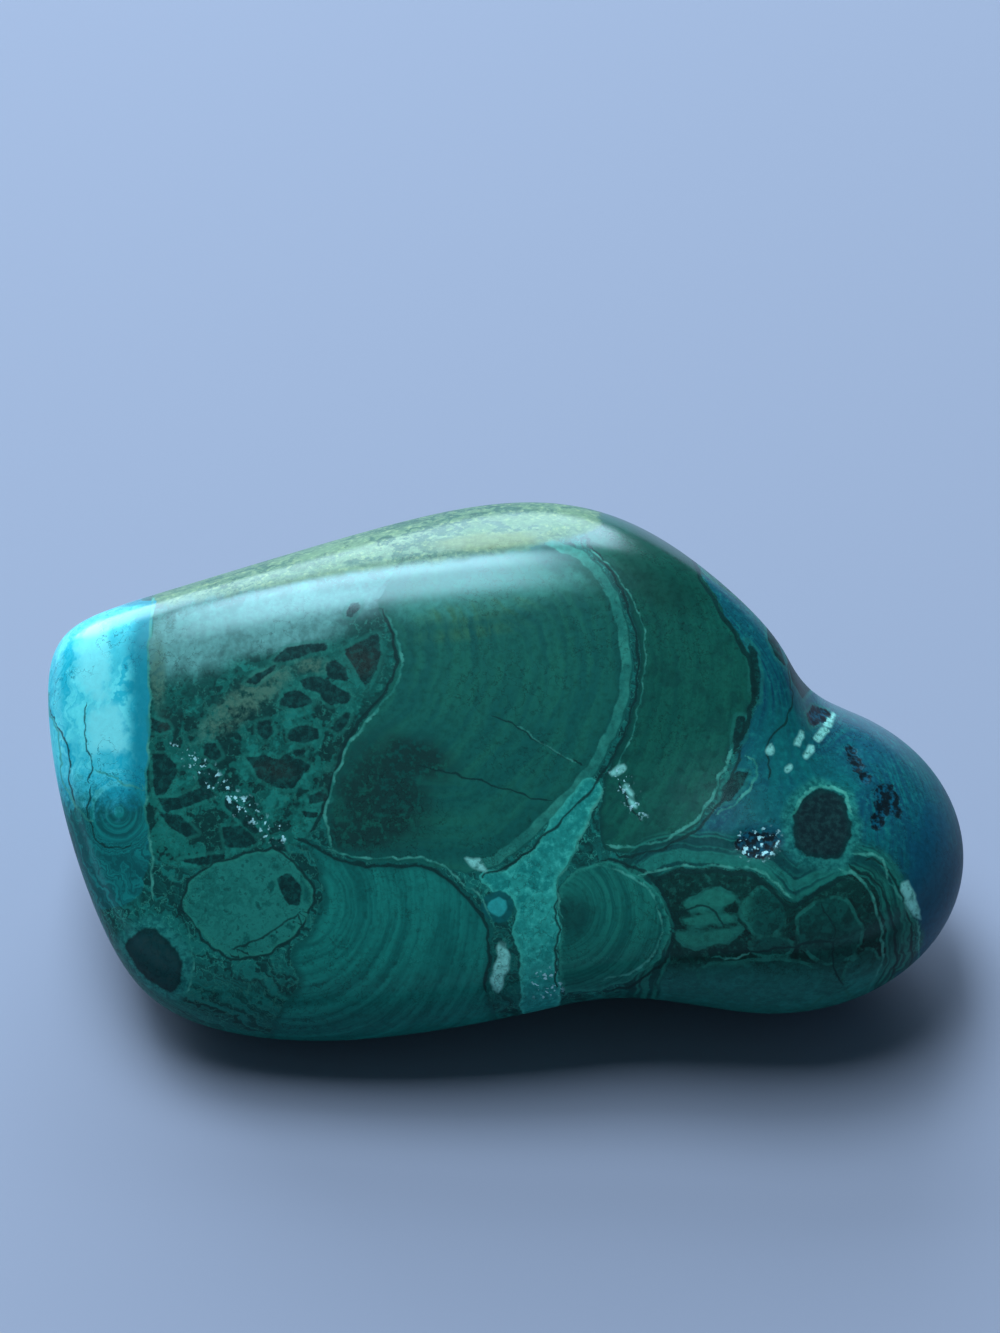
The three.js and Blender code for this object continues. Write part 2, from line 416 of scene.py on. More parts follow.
@dataclass(frozen=True)
class PhotoCamera:
    """The camera of the photograph: it looks along +Y and down at the stone.

    Attributes:
        elevation_deg: Its height above the floor, as an angle at the stone.
        distance_mm: Its distance from the point that it looks at.
        pixels_per_mm: The photograph's scale at that distance.
        seen_point_mm: A point inside the stone.
        seen_pixel: Where that point lies in the photograph.
        image_size: The photograph's width and height in pixels.
        sensor_mm: The long side of the sensor.
    """

    elevation_deg: float = 42.0
    distance_mm: float = 200.0
    pixels_per_mm: float = 19.9
    seen_point_mm: tuple[float, float, float] = (0.0, 0.0, 10.0)
    seen_pixel: Pixel = (505.5, 767.5)
    image_size: tuple[int, int] = (1000, 1333)
    sensor_mm: float = 36.0

    @property
    def right(self) -> np.ndarray:
        """The picture's x axis in the stone's frame."""
        return np.array((1.0, 0.0, 0.0))

    @property
    def up(self) -> np.ndarray:
        """The picture's upward axis in the stone's frame."""
        angle = math.radians(self.elevation_deg)
        return np.array((0.0, math.sin(angle), math.cos(angle)))

    @property
    def back(self) -> np.ndarray:
        """The way from the stone to the camera."""
        return np.cross(self.right, self.up)

    @property
    def middle(self) -> np.ndarray:
        """The picture's middle, in pixels."""
        return np.array(self.image_size) / 2

    @property
    def eye(self) -> np.ndarray:
        """The camera's place, in millimetres.

        Returns:
            The point.
        """
        shift = (self.middle - np.array(self.seen_pixel)) / self.pixels_per_mm
        aim = np.array(self.seen_point_mm) + self.right * shift[0] - self.up * shift[1]
        return aim + self.back * self.distance_mm

    def pixels(self, points_mm: np.ndarray) -> np.ndarray:
        """Where points of the stone lie in the photograph.

        Args:
            points_mm: Points, one a row.

        Returns:
            Pixels, one a row.
        """
        ray = points_mm - self.eye
        scale = self.pixels_per_mm * self.distance_mm / -(ray @ self.back)
        across = (ray @ self.right) * scale
        down = -(ray @ self.up) * scale
        return self.middle + np.stack((across, down), axis=1)

    def surface_point(self, target: bpy.types.Object, pixel: Pixel) -> Vector:
        """The point of the stone that a pixel shows.

        Args:
            target: The stone.
            pixel: A pixel on the stone.

        Returns:
            The point, in millimetres.
        """
        across, down = (np.array(pixel) - self.middle) / (self.pixels_per_mm * self.distance_mm)
        ray = self.right * across - self.up * down - self.back
        found, point, _, _ = target.ray_cast(Vector(self.eye * MM), Vector(ray).normalized())
        if not found:
            raise ValueError(f"no stone at pixel {pixel}")
        return point / MM

    def build(self) -> bpy.types.Object:
        """Adds the camera to the scene.

        Returns:
            The camera.
        """
        data = bpy.data.cameras.new("photo_camera")
        data.sensor_width = self.sensor_mm
        data.lens = self.pixels_per_mm * self.distance_mm * self.sensor_mm / max(self.image_size)
        data.clip_start = 0.01
        camera = bpy.data.objects.new("photo_camera", data)
        bpy.context.scene.collection.objects.link(camera)
        turn = Matrix(np.stack((self.right, self.up, self.back), axis=1).tolist()).to_4x4()
        camera.matrix_world = Matrix.Translation(self.eye * MM) @ turn
        bpy.context.scene.camera = camera
        return camera


def smooth_line(points: Sequence[Pixel], closed: bool, steps: int = CURVE_STEPS) -> np.ndarray:
    """A smooth line through given points, with the small waver of a natural edge.

    Args:
        points: The points, in order.
        closed: Whether the line runs back to its first point.
        steps: Pieces between one point and the next.

    Returns:
        Points along the line, one a row.
    """
    knots = np.array(points, float)
    if closed:
        before, here, after, beyond = (np.roll(knots, shift, 0) for shift in (1, 0, -1, -2))
    else:
        padded = np.concatenate((2 * knots[:1] - knots[1:2], knots, 2 * knots[-1:] - knots[-2:-1]))
        before, here, after, beyond = padded[:-3], padded[1:-2], padded[2:-1], padded[3:]
    rows = []
    for part in np.arange(steps) / steps:
        rows.append(
            here
            + 0.5 * part * (after - before)
            + part * part * (before - 2.5 * here + 2 * after - 0.5 * beyond)
            + part**3 * (1.5 * (here - after) + 0.5 * (beyond - before))
        )
    line = np.stack(rows, axis=1).reshape(-1, 2)
    line = line if closed else np.concatenate((line, knots[-1:]))
    waver = np.sin(line[:, ::-1] * 0.19 + 1.3) + 0.8 * np.sin(line[:, ::-1] * 0.43 + line * 0.11)
    return line + waver + 0.6 * np.sin(line * 0.83 + line[:, ::-1] * 0.57)


@dataclass
class Shown:
    """The stone's surface as the photograph shows it.

    Attributes:
        camera: The photograph's camera.
        points: Vertices, in millimetres.
        normals: Their normals.
        far_mm: The distance given to what lies far from a line.
        margin: How far from a small shape distances are worked out, in pixels.
        least_facing: How far a vertex may turn from the camera and still get distances.
        least_tinted: How far it may turn and still get tints.
    """

    camera: PhotoCamera
    points: np.ndarray
    normals: np.ndarray
    far_mm: float = 3.0
    margin: float = 60.0
    least_facing: float = -0.5
    least_tinted: float = -0.2
    pixels: np.ndarray = field(init=False)
    facing: np.ndarray = field(init=False)

    def __post_init__(self) -> None:
        """Works out each vertex's pixel and how far it faces the camera."""
        self.pixels = self.camera.pixels(self.points)
        ways = self.camera.eye - self.points
        ways /= np.linalg.norm(ways, axis=1, keepdims=True)
        self.facing = np.einsum("ij,ij->i", self.normals, ways)

    def distances(self, line: np.ndarray, closed: bool, whole: bool) -> tuple[np.ndarray, np.ndarray]:
        """Distances of the vertices from a line, along the surface.

        Args:
            line: Points of the line, in pixels.
            closed: Whether it is the edge of a shape.
            whole: Whether every vertex counts, or only those near the line.

        Returns:
            Signed distances in millimetres, negative inside a shape or on a line's left, and
            plain distances.
        """
        near = self.facing > self.least_facing
        if not whole:
            low, high = line.min(0) - self.margin, line.max(0) + self.margin
            near = near & np.all((self.pixels > low) & (self.pixels < high), axis=1)
        spots = self.pixels[near]
        best = np.full(len(spots), np.inf)
        way = np.zeros_like(spots)
        side = np.ones(len(spots))
        inside = np.zeros(len(spots), bool)
        ends = np.roll(line, -1, 0) if closed else line[1:]
        for start, end in zip(line, ends):
            step = end - start
            rest = spots - start
            part = np.clip(rest @ step / max(step @ step, 1e-9), 0, 1)
            off = part[:, None] * step - rest
            gap = np.einsum("ij,ij->i", off, off)
            nearer = gap < best
            best[nearer] = gap[nearer]
            way[nearer] = off[nearer]
            cross = step[0] * rest[:, 1] - step[1] * rest[:, 0]
            side[nearer] = np.sign(cross[nearer])
            if closed and start[1] != end[1]:
                row = spots[:, 1]
                reach = start[0] + step[0] * (row - start[1]) / step[1]
                inside ^= ((start[1] > row) != (end[1] > row)) & (spots[:, 0] < reach)
        gap = np.sqrt(best)
        unit = way / np.maximum(gap, 1e-6)[:, None]
        slant = unit[:, :1] * self.camera.right - unit[:, 1:] * self.camera.up
        lean = np.einsum("ij,ij->i", slant, self.normals[near])
        true = gap / self.camera.pixels_per_mm / np.sqrt(np.maximum(1 - lean * lean, 0.1))
        signed, plain = (np.full(len(self.points), self.far_mm) for _ in range(2))
        signed[near] = np.where(inside, -true, true) if closed else true * np.where(side < 0, -1, 1)
        plain[near] = true
        return signed, plain

    def shape(self, points: Sequence[Pixel], whole: bool, steps: int = CURVE_STEPS) -> np.ndarray:
        """Signed distances from the edge of one closed shape, rounded in as many steps a side."""
        return self.distances(smooth_line(points, True, steps), True, whole)[0]

    def cloud(self, tints: Sequence[Tint]) -> np.ndarray:
        """The weight of a tint at each vertex.

        Args:
            tints: The clouds that make it up.

        Returns:
            Weights from 0.
        """
        total = np.zeros(len(self.points))
        for tint in tints:
            turn = math.radians(tint.turn_deg)
            off = self.pixels - np.array(tint.middle)
            along = off @ np.array((math.cos(turn), math.sin(turn))) / tint.half_size[0]
            across = off @ np.array((-math.sin(turn), math.cos(turn))) / tint.half_size[1]
            total = np.maximum(total, tint.strength * np.exp(-(along**2) - across**2))
        return np.where(self.facing > self.least_tinted, total, 0)


@dataclass
class Stone:
    """The stone itself: one closed, smooth surface on the solid's form.

    Attributes:
        node: The solid that it stands for.
        name: The piece's name.
        cuts: Cuts along each side of the first block; a last halving doubles the pieces.
        evening: Rounds of smoothing that take out the solid's flat triangles.
        pit_depth_mm: Depth of the open pits.
        cap_plane_mm: Where the blue cap ends on the sides that aren't shown, along the length.
        tail_plane_mm: Where the blue tail begins there.
        full_facing: How far a vertex must face the camera to follow the outlines alone.
        piece: The surface, once it is built.
    """

    node: str = "stone"
    name: str = "polished_stone"
    cuts: int = 63
    evening: int = 45
    pit_depth_mm: float = 0.08
    cap_plane_mm: float = -17.8
    tail_plane_mm: float = 14.5
    full_facing: float = 0.3
    piece: Optional[bpy.types.Object] = None

    def build(self) -> bpy.types.Object:
        """Models the surface: a block rounded to a ball, drawn out to the box and onto the form.

        Returns:
            The piece.
        """
        low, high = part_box(self.node)
        bpy.ops.object.select_all(action="DESELECT")
        bpy.ops.mesh.primitive_cube_add(size=2.0, location=(low + high) / 2)
        self.piece = bpy.context.object
        self.piece.name = self.piece.data.name = self.name
        bpy.ops.object.mode_set(mode="EDIT")
        bpy.ops.mesh.select_all(action="SELECT")
        bpy.ops.mesh.subdivide(number_cuts=self.cuts)
        bpy.ops.mesh.subdivide(number_cuts=1)
        bpy.ops.object.mode_set(mode="OBJECT")
        self.apply("round", "CAST", cast_type="SPHERE", factor=1.0, use_radius_as_size=False, size=1.0)
        bpy.ops.transform.resize(value=(high - low) / 2)
        bpy.ops.object.transform_apply(location=True, rotation=True, scale=True)
        self.apply(
            "onto_form",
            "SHRINKWRAP",
            target=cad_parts[self.node],
            wrap_method="PROJECT",
            use_negative_direction=True,
            use_positive_direction=True,
        )
        self.apply("even", "SMOOTH", factor=0.5, iterations=self.evening)
        bpy.ops.object.shade_smooth()
        return self.piece

    def apply(self, name: str, kind: str, **settings: Any) -> None:
        """Adds a modifier to the piece and applies it.

        Args:
            name: The modifier's name.
            kind: Its type.
            **settings: Its settings.
        """
        modifier = self.piece.modifiers.new(name, kind)
        for key, value in settings.items():
            setattr(modifier, key, value)
        bpy.ops.object.modifier_apply(modifier=name)

    def read(self) -> tuple[np.ndarray, np.ndarray]:
        """The piece's vertices in millimetres and their normals.

        Returns:
            Points and normals, one a row.
        """
        mesh = self.piece.data
        points, normals = (np.zeros(3 * len(mesh.vertices), np.float32) for _ in range(2))
        mesh.vertices.foreach_get("co", points)
        mesh.vertex_normals.foreach_get("vector", normals)
        return points.reshape(-1, 3).astype(float) / MM, normals.reshape(-1, 3).astype(float)

    def keep(self, name: str, values: np.ndarray) -> None:
        """Keeps one number for each vertex as a mesh attribute.

        Args:
            name: The attribute's name.
            values: The numbers, in the order of the vertices.
        """
        layer = self.piece.data.attributes.new(name, "FLOAT", "POINT")
        layer.data.foreach_set("value", values.astype(np.float32))

    def mark(self, camera: PhotoCamera) -> None:
        """Lays all markings on the surface.

        Args:
            camera: The photograph's camera.
        """
        shown = Shown(camera, *self.read())
        self.mark_zones(shown)
        for group, shapes in GROUPS.items():
            steps = 1 if group is Group.SHARD else CURVE_STEPS
            depths = [shown.shape(points, False, steps) for points in shapes]
            self.keep(group.value, np.minimum.reduce(depths))
        for family, lines in LINES.items():
            self.mark_lines(shown, family, lines)
        self.keep(FLOW, shown.distances(smooth_line(FLOW_LINE, False), False, True)[0])
        for cloud, tints in CLOUDS.items():
            self.keep(cloud.value, shown.cloud(tints))
        self.mark_reverse(shown)

    def mark_zones(self, shown: Shown) -> None:
        """Keeps the distance from each zone's edge; cap and tail run on round the stone.

        Args:
            shown: The surface as shown.
        """
        seen = np.clip(shown.facing / self.full_facing, 0, 1)
        along, across, up = shown.points.T
        length = along + 0.7 * np.sin(across * 0.55) + 0.5 * np.sin(up * 0.8)
        beyond = {Zone.CAP: length - self.cap_plane_mm, Zone.TAIL: self.tail_plane_mm - length}
        for zone, points in ZONES.items():
            distance = shown.shape(points, True)
            if zone in beyond:
                distance = seen * distance + (1 - seen) * beyond[zone]
            self.keep(zone.value, distance)

    def mark_lines(
        self, shown: Shown, family: Line, lines: Sequence[tuple[float, Sequence[Pixel]]]
    ) -> None:
        """Keeps the distance from the nearest line of a family, and that line's width.

        Args:
            shown: The surface as shown.
            family: The family.
            lines: Each line's width in millimetres and its points.
        """
        count = len(shown.points)
        signed, near = (np.full(count, shown.far_mm) for _ in range(2))
        widths = np.zeros(count)
        for width, points in lines:
            one_signed, one_near = shown.distances(smooth_line(points, False), False, False)
            nearer = one_near < near
            signed[nearer] = one_signed[nearer]
            near[nearer] = one_near[nearer]
            widths[nearer] = width
        self.keep(family.value, signed)
        self.keep(family.value + NEAR, near)
        self.keep(family.value + WIDTH, widths)

    def mark_reverse(self, shown: Shown) -> None:
        """Keeps what the sides that aren't shown need: the ball nodules and the way to the camera.

        Args:
            shown: The surface as shown.
        """
        depths = np.stack(
            [np.linalg.norm(shown.points - np.array(ball.centre), axis=1) - ball.radius for ball in BALLS]
        )
        order = np.sort(depths, axis=0)
        self.keep(Reverse.FACING.value, shown.facing)
        self.keep(Reverse.DEPTH.value, order[0])
        self.keep(Reverse.SEAM.value, order[1] - order[0])
        self.keep(Reverse.TONE.value, (np.argmin(depths, axis=0) * TONE_STEP) % 1.0)

    def sink_pits(self) -> None:
        """Presses the open pits into the surface."""
        mesh = self.piece.data
        depth = np.zeros(len(mesh.vertices), np.float32)
        mesh.attributes[Group.PIT.value].data.foreach_get("value", depth)
        weight = np.clip(0.4 - depth / 0.6, 0, 1)
        group = self.piece.vertex_groups.new(name="pits")
        for index in np.flatnonzero(weight > 0):
            group.add([int(index)], float(weight[index]), "REPLACE")
        self.apply(
            "pits", "DISPLACE", direction="NORMAL", mid_level=0.0,
            strength=-self.pit_depth_mm * MM, vertex_group=group.name,
        )
        self.piece.vertex_groups.clear()

    def declare(self) -> None:
        """Tells the frame what the piece rides on and stands for."""
        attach(self.piece, "root")
        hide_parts(self.node)


class Paint:
    """A socket of a material, on which plain arithmetic adds Math nodes."""

    def __init__(self, kit: "NodeKit", socket: bpy.types.NodeSocket) -> None:
        """Wraps a socket."""
        self.kit = kit
        self.socket = socket

    def __add__(self, other: "Number") -> "Paint":
        """The sum."""
        return self.kit.maths("ADD", self, other)

    def __sub__(self, other: "Number") -> "Paint":
        """The difference."""
        return self.kit.maths("SUBTRACT", self, other)

    def __rsub__(self, other: "Number") -> "Paint":
        """The difference, the other way round."""
        return self.kit.maths("SUBTRACT", other, self)

    def __mul__(self, other: "Number") -> "Paint":
        """The product."""
        return self.kit.maths("MULTIPLY", self, other)

    def __truediv__(self, other: "Number") -> "Paint":
        """The quotient."""
        return self.kit.maths("DIVIDE", self, other)

    def __abs__(self) -> "Paint":
        """The plain size."""
        return self.kit.maths("ABSOLUTE", self)

    __radd__ = __add__
    __rmul__ = __mul__


Number = Union[Paint, float]
Shade = Union[Paint, Colour]


class NodeKit:
    """Adds nodes to one material."""

    def __init__(self, tree: bpy.types.NodeTree) -> None:
        """Empties a material's tree for use.

        Args:
            tree: The tree of a material or of the room.
        """
        self.tree = tree
        self.kept: dict[str, Paint] = {}
        tree.nodes.clear()

    def node(
        self, kind: str, settings: dict[str, Any], inputs: dict[Any, Any], output: Any = 0
    ) -> Paint:
        """Adds one node.

        Args:
            kind: The node's type.
            settings: Its settings, set first.
            inputs: Socket name or index to a value or a link.
            output: The socket to return.

        Returns:
            The output socket.
        """
        made = self.tree.nodes.new(kind)
        for key, value in settings.items():
            setattr(made, key, value)
        for key, value in inputs.items():
            socket = made.inputs[key]
            if isinstance(value, Paint):
                self.tree.links.new(value.socket, socket)
            elif isinstance(value, tuple) and socket.type == "RGBA":
                socket.default_value = (*value, 1.0)
            else:
                socket.default_value = value
        return Paint(self, made.outputs[output]) if len(made.outputs) else Paint(self, made.inputs[0])

    def maths(self, operation: str, *values: Number) -> Paint:
        """Adds a Math node."""
        return self.node("ShaderNodeMath", {"operation": operation}, dict(enumerate(values)))

    def vector(self, operation: str, *values: Any, output: Any = 0) -> Paint:
        """Adds a Vector Math node."""
        settings = {"operation": operation}
        return self.node("ShaderNodeVectorMath", settings, dict(enumerate(values)), output)

    def along(self, where: Paint, axis: Colour) -> Paint:
        """How far a vector reaches along an axis."""
        return self.vector("DOT_PRODUCT", where, axis, output="Value")

    def scaled(self, where: Paint, factor: Number) -> Paint:
        """A vector or a colour, times a number."""
        return self.node("ShaderNodeVectorMath", {"operation": "SCALE"}, {0: where, "Scale": factor})

    def attribute(self, name: str) -> Paint:
        """A mesh attribute's number.

        Args:
            name: The attribute's name.

        Returns:
            The number, from one node for each name.
        """
        if name not in self.kept:
            self.kept[name] = self.node("ShaderNodeAttribute", {"attribute_name": name}, {}, "Fac")
        return self.kept[name]

    def ramp(self, value: Number, start: float, end: float) -> Paint:
        """A smooth step from 0 at start to 1 at end.

        Args:
            value: What is looked up.
            start: Where the step begins; it may be the larger end.
            end: Where it is complete.

        Returns:
            The step, from 0 to 1.
        """
        flip = start > end
        low, high = (end, start) if flip else (start, end)
        inputs = {"Value": value, "From Min": low, "From Max": high}
        inputs |= {"To Min": 1.0 if flip else 0.0, "To Max": 0.0 if flip else 1.0}
        return self.node("ShaderNodeMapRange", {"interpolation_type": "SMOOTHSTEP"}, inputs, "Result")

    def mix(self, weight: Number, under: Shade, over: Shade) -> Paint:
        """A colour between two.

        Args:
            weight: 0 for the first, 1 for the second.
            under: The first colour.
            over: The second colour.

        Returns:
            The colour between.
        """
        return self.node("ShaderNodeMix", {"data_type": "RGBA"}, {0: weight, 6: under, 7: over}, 2)

    def noise(self, where: Paint, scale: float, detail: float = 2.0, rough: float = 0.5) -> Paint:
        """Cloudy noise around a half."""
        inputs = {"Vector": where, "Scale": scale, "Detail": detail, "Roughness": rough}
        return self.node("ShaderNodeTexNoise", {"noise_dimensions": "3D"}, inputs, "Fac")


@dataclass(frozen=True)
class PolishedStone:
    """The polished surface: how shown colours give the stone's own, and the gloss.

    Attributes:
        shade_high: What a white surface would show at the upper row, in linear light.
        shade_low: The same at the lower row.
        rows: The upper and the lower row, in the photograph.
        roughness: Of the polish.
        refraction: The index of refraction.
        gleam: The tint of what it mirrors.
        veil: What the polish mirrors on the front, in linear light.
        dull_roughness: Of the dull parts.
        dull_gloss: The specular level of the dull parts.
        dull_below_mm: The heights between which the flanks turn dull.
        dull_under: The upward lean of the surface between which it turns dull.
        dull_end: Its lean towards the right end between which it turns dull.
    """

    shade_high: Colour = (0.67, 0.73, 0.79)
    shade_low: Colour = (0.41, 0.47, 0.53)
    rows: tuple[float, float] = (600.0, 1000.0)
    roughness: float = 0.23
    refraction: float = 1.8
    gleam: Colour = (0.63, 0.87, 0.89)
    veil: Colour = (0.0038, 0.002, 0.003)
    dull_roughness: float = 0.45
    dull_gloss: float = 0.12
    dull_below_mm: tuple[float, float] = (9.5, 4.0)
    dull_under: tuple[float, float] = (0.5, 0.3)
    dull_end: tuple[float, float] = (0.4, 0.75)

    def own(self, row: float, red: float, green: float, blue: float) -> Colour:
        """The stone's own colour behind one that the photograph shows.

        Args:
            row: The row where it shows it.
            red: Red as shown, 0 to 255.
            green: Green as shown.
            blue: Blue as shown.

        Returns:
            The colour in linear light.
        """
        shown = [value / 255 for value in (red, green, blue)]
        linear = [
            value / 12.92 if value < 0.04045 else ((value + 0.055) / 1.055) ** 2.4 for value in shown
        ]
        part = min(1.0, max(0.0, (row - self.rows[0]) / (self.rows[1] - self.rows[0])))
        shades = [high + part * (low - high) for high, low in zip(self.shade_high, self.shade_low)]
        return tuple(
            min(0.9, max(0.0005, value - veil) / shade)
            for value, veil, shade in zip(linear, self.veil, shades)
        )

    def dress(self, stone: Stone, camera: PhotoCamera) -> None:
        """Gives the stone its material.

        Args:
            stone: The stone.
            camera: The photograph's camera.
        """
        material = bpy.data.materials.new("polished_chrysocolla")
        material.use_nodes = True
        painter = StonePainter(NodeKit(material.node_tree), self, stone, camera)
        painter.finish()
        stone.piece.data.materials.clear()
        stone.piece.data.materials.append(material)


@dataclass(frozen=True)
class Recipe:
    """How one zone is coloured, in colours as the photograph shows them, 0 to 255.

    Attributes:
        row: The photograph's row at the zone's middle, for the light that it gets there.
        dark: Its darker growth bands.
        light: Its lighter growth bands.
        turn: The noise at which dark begins and ends to turn light.
        fleck: Its flecks.
        flecks: Their weight.
        seam: The colour along its edge.
        seam_mm: How far that reaches in.
        soft: Half the width of its edge, in millimetres.
        wander: How ragged its edge is.
    """

    row: float
    dark: Colour
    light: Colour
    turn: tuple[float, float] = (0.38, 0.62)
    fleck: Colour = (8, 48, 46)
    flecks: float = 0.5
    seam: Optional[Colour] = None
    seam_mm: float = 0.5
    soft: float = 0.05
    wander: float = 0.5


RECIPES: dict[Zone, Recipe] = {
    Zone.TAIL: Recipe(
        770, (4, 60, 78), (12, 84, 90), (0.36, 0.66), (24, 98, 92), 0.4, soft=0.2, wander=1.2,
    ),
    Zone.BAND: Recipe(
        690, (14, 70, 62), (21, 85, 72), (0.3, 0.7), (9, 52, 48), 0.55, (9, 54, 52), 0.3,
    ),
    Zone.BRECCIA: Recipe(
        720, (11, 62, 58), (20, 92, 84), (0.36, 0.62), (7, 40, 40), 0.5, wander=1.0,
    ),
    Zone.NODULE: Recipe(
        700, (17, 77, 72), (25, 92, 79), (0.34, 0.7), (13, 66, 63), 0.3, wander=0.35,
    ),
    Zone.TOP: Recipe(
        560, (40, 84, 70), (88, 122, 94), (0.36, 0.6), (124, 142, 100), 0.5, soft=0.25, wander=1.4,
    ),
    Zone.CAP: Recipe(
        760, (38, 164, 184), (86, 212, 220), (0.36, 0.64), (130, 236, 236), 0.12, wander=0.4,
    ),
    Zone.LOWER: Recipe(
        950, (12, 73, 70), (20, 96, 90), (0.36, 0.66), (10, 66, 63), 0.3, (9, 60, 58), 0.5,
    ),
    Zone.SMALL: Recipe(
        900, (14, 70, 66), (27, 97, 90), (0.36, 0.62), (7, 48, 46), 0.75, (30, 100, 90), 0.3,
    ),
    Zone.VEIN: Recipe(
        900, (20, 104, 101), (34, 126, 120), (0.34, 0.66), (56, 146, 138), 0.4, (46, 140, 130), 0.3,
    ),
    Zone.DISC: Recipe(
        920, (12, 69, 65), (22, 91, 83), (0.36, 0.64), (10, 56, 54), 0.35, (32, 106, 96), 0.25,
    ),
    Zone.CORNER: Recipe(
        950, (5, 30, 29), (11, 46, 43), (0.36, 0.62), (26, 78, 71), 0.4,
    ),
}
WRAPPED = (Zone.TAIL, Zone.CAP)


class StonePainter:
    """Paints the stone's markings, one zone over the other."""

    def __init__(
        self, kit: NodeKit, finish: PolishedStone, stone: Stone, camera: PhotoCamera
    ) -> None:
        """Sets up the coordinates, the shared noises and the zones' insides.

        Args:
            kit: The material's nodes.
            finish: The polish.
            stone: The stone, marked.
            camera: The photograph's camera.
        """
        self.kit = kit
        self.look = finish
        self.stone = stone
        self.camera = camera
        place = kit.node("ShaderNodeTexCoord", {}, {}, "Object")
        self.place = kit.scaled(place, 1 / MM)
        self.fine = kit.noise(self.place, 3.2, 3.5, 0.65)
        self.flecks = kit.ramp(self.fine, 0.52, 0.68)
        self.middle = kit.noise(self.place, 1.0, 3.0, 0.6)
        self.broad = kit.noise(self.place, 0.28, 2.0)
        self.ragged = (self.middle - 0.5) * 0.55 + (self.fine - 0.5) * 0.45
        self.web = abs(kit.noise(self.place, 1.5, 3.0, 0.6) - 0.5)
        self.height = kit.along(self.place, tuple(camera.up))
        self.inside = {
            zone: self.edge(zone, recipe.soft, recipe.wander) for zone, recipe in RECIPES.items()
        }
        facing = kit.attribute(Reverse.FACING.value)
        self.away = kit.ramp(facing + self.ragged * 0.35, -0.1, -0.16)
        self.extras = {
            Zone.BRECCIA: self.breccia,
            Zone.NODULE: self.nodule,
            Zone.BAND: self.band,
            Zone.TOP: self.top,
            Zone.CAP: self.cap,
            Zone.DISC: self.disc,
            Zone.CORNER: self.corner,
            Zone.TAIL: self.tail,
        }
        self.grown = self.growth()

    def own(self, row: float, *shown: float) -> Colour:
        """The stone's own colour behind one that the photograph shows at a row."""
        return self.look.own(row, *shown)

    def blend(self, weight: Paint, row: float, first: Colour, second: Colour) -> Paint:
        """A mix of two colours that the photograph shows at a row."""
        return self.kit.mix(weight, self.own(row, *first), self.own(row, *second))

    def lay(self, weight: Number, under: Paint, row: float, shown: Colour) -> Paint:
        """Lays a colour that the photograph shows at a row over another."""
        return self.kit.mix(weight, under, self.own(row, *shown))

    def edge(self, name: Union[Zone, Group], soft: float = 0.05, wander: float = 0.6) -> Paint:
        """The inside of a zone or group.

        Args:
            name: The zone or group.
            soft: Half the width of its edge, in millimetres.
            wander: How ragged the edge is.

        Returns:
            1 inside and 0 outside.
        """
        return self.kit.ramp(self.kit.attribute(name.value) + self.ragged * wander, soft, -soft)

    def line(self, family: Line) -> Paint:
        """The lines of a family: 1 on a line and 0 off it.

        Args:
            family: The family.

        Returns:
            The weight of its lines.
        """
        kit = self.kit
        width = kit.attribute(family.value + WIDTH)
        away = abs(kit.attribute(family.value) + self.ragged * 0.3)
        thick = width * (0.9 * self.fine + 0.8 * self.middle - 0.48)
        on = kit.ramp(away - thick, 0.05, -0.04)
        return on * kit.ramp(kit.attribute(family.value + NEAR) - width * 0.5, 0.2, 0.1)

    def around(self, pixel: Pixel) -> Paint:
        """Distance from the point of the stone that a pixel shows, in millimetres."""
        point = self.camera.surface_point(self.stone.piece, pixel)
        return self.kit.vector("DISTANCE", self.place, tuple(point), output="Value")

    def growth(self) -> Paint:
        """Growth bands: one noise, stretched along each zone's own rings.

        Returns:
            Noise around a half.
        """
        kit = self.kit
        rim = kit.attribute(Zone.NODULE.value)
        across = kit.attribute(FLOW) * 2.4 + self.middle * 5.0
        coil = self.around((119, 812))
        coiled = kit.ramp(coil + self.ragged, 2.2, 1.5)
        rings = {
            Zone.TAIL: kit.attribute(FLOW) * 0.8 + self.height,
            Zone.BAND: rim * 2.4 + self.middle * 1.2,
            Zone.BRECCIA: self.middle * 4.0,
            Zone.NODULE: rim * 1.3 + 7.0,
            Zone.TOP: self.middle * 4.0,
            Zone.CAP: across + coiled * (coil * 3.0 + 11.0 - across),
            Zone.LOWER: self.around((300, 905)) * 1.9 + 23.0,
            Zone.SMALL: self.middle * 4.0,
            Zone.VEIN: self.middle * 3.0,
            Zone.DISC: self.around((560, 910)) * 3.4 + 31.0,
            Zone.CORNER: self.middle * 4.0,
        }
        for zone, ring in rings.items():
            across = across + self.inside[zone] * (ring - across)
        across = across + self.away * (kit.attribute(Reverse.DEPTH.value) * 2.4 - across)
        base = kit.scaled(self.place, 0.16)
        shift = kit.node("ShaderNodeCombineXYZ", {}, {"X": across + self.ragged * 0.9})
        return kit.noise(kit.vector("ADD", base, shift), 1.0, 3.0, 0.65)

    def cloud(self, kind: Cloud, low: float = 0.15, high: float = 0.75) -> Paint:
        """The weight of a soft tint, broken up a little."""
        return self.kit.ramp(self.kit.attribute(kind.value) * (0.35 + 1.3 * self.middle), low, high)

